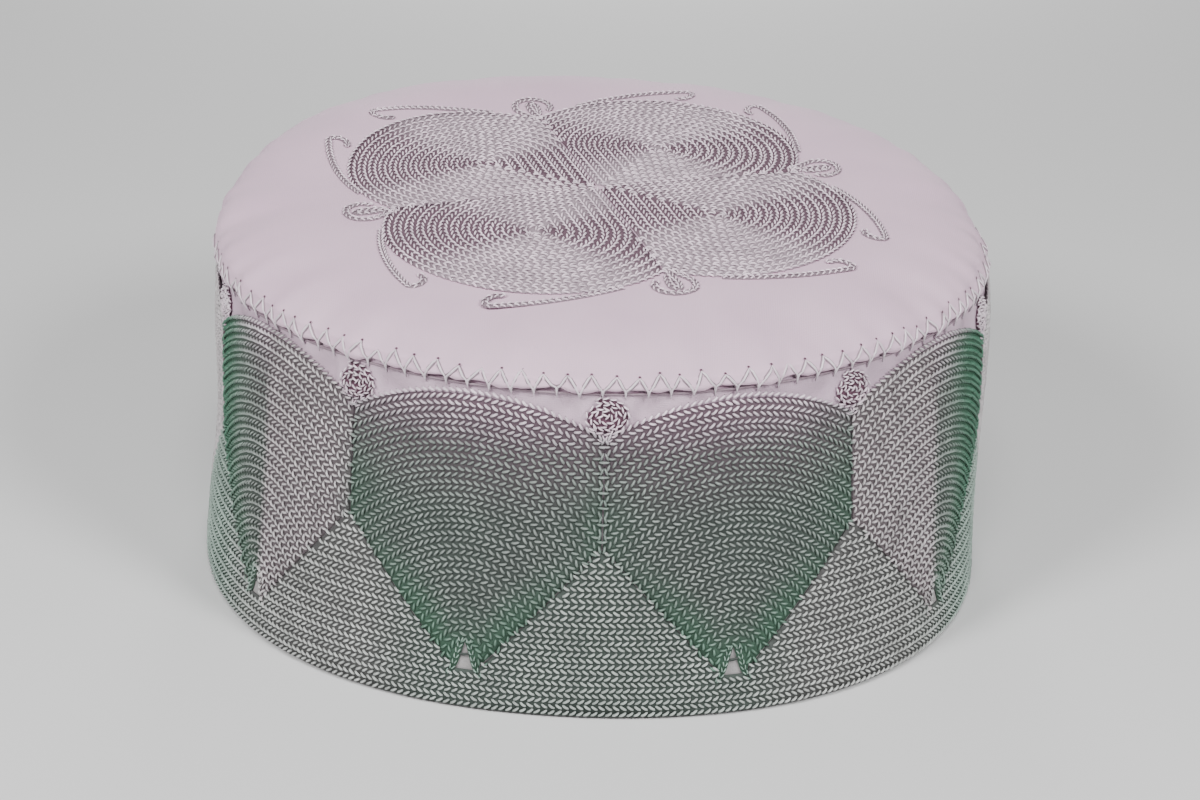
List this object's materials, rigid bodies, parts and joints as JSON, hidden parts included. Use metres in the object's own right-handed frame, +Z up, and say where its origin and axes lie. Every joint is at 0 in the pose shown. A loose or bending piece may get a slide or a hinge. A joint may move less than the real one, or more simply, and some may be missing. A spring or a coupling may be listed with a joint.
{
  "type": "kufi",
  "caption": "Round brimless cap with a flat rolled-edge crown panel, a slightly flared side band with a turned hem, and raised chain-stitch fans, knots and a four-lobed rosette.",
  "frame": {"origin": "middle of the cap's footprint, on the surface that the hem rests on", "axes": "+Z up through the crown, front of the cap towards -Y, +X to the right as seen from the front"},
  "size_m": [0.1888, 0.1888, 0.0947],
  "materials": {
    "crown_poplin": "matt woven cotton poplin",
    "band_poplin": "matt woven cotton poplin",
    "fan_thread": "satin rayon embroidery thread",
    "ground_thread": "satin rayon embroidery thread",
    "knot_thread": "satin rayon embroidery thread",
    "rosette_thread": "satin rayon embroidery thread"
  },
  "bodies": {
    "root": {"crown_panel": "crown_poplin", "side_band": "band_poplin", "embroidered_ground": "ground_thread", "fan_01": "fan_thread", "fan_02": "fan_thread", "fan_03": "fan_thread", "fan_04": "fan_thread", "fan_05": "fan_thread", "fan_06": "fan_thread", "fan_07": "fan_thread", "fan_08": "fan_thread", "fan_09": "fan_thread", "fan_10": "fan_thread", "spiral_knot_01": "knot_thread", "spiral_knot_02": "knot_thread", "spiral_knot_03": "knot_thread", "spiral_knot_04": "knot_thread", "spiral_knot_05": "knot_thread", "spiral_knot_06": "knot_thread", "spiral_knot_07": "knot_thread", "spiral_knot_08": "knot_thread", "spiral_knot_09": "knot_thread", "spiral_knot_10": "knot_thread", "rosette_lobe_01": "rosette_thread", "rosette_lobe_02": "rosette_thread", "rosette_lobe_03": "rosette_thread", "rosette_lobe_04": "rosette_thread", "rosette_curl_01": "rosette_thread", "rosette_curl_02": "rosette_thread", "rosette_curl_03": "rosette_thread", "rosette_curl_04": "rosette_thread", "rosette_tail_01_left": "rosette_thread", "rosette_tail_01_right": "rosette_thread", "rosette_tail_02_left": "rosette_thread", "rosette_tail_02_right": "rosette_thread", "rosette_tail_03_left": "rosette_thread", "rosette_tail_03_right": "rosette_thread", "rosette_tail_04_left": "rosette_thread", "rosette_tail_04_right": "rosette_thread"}
  },
  "joints": []
}
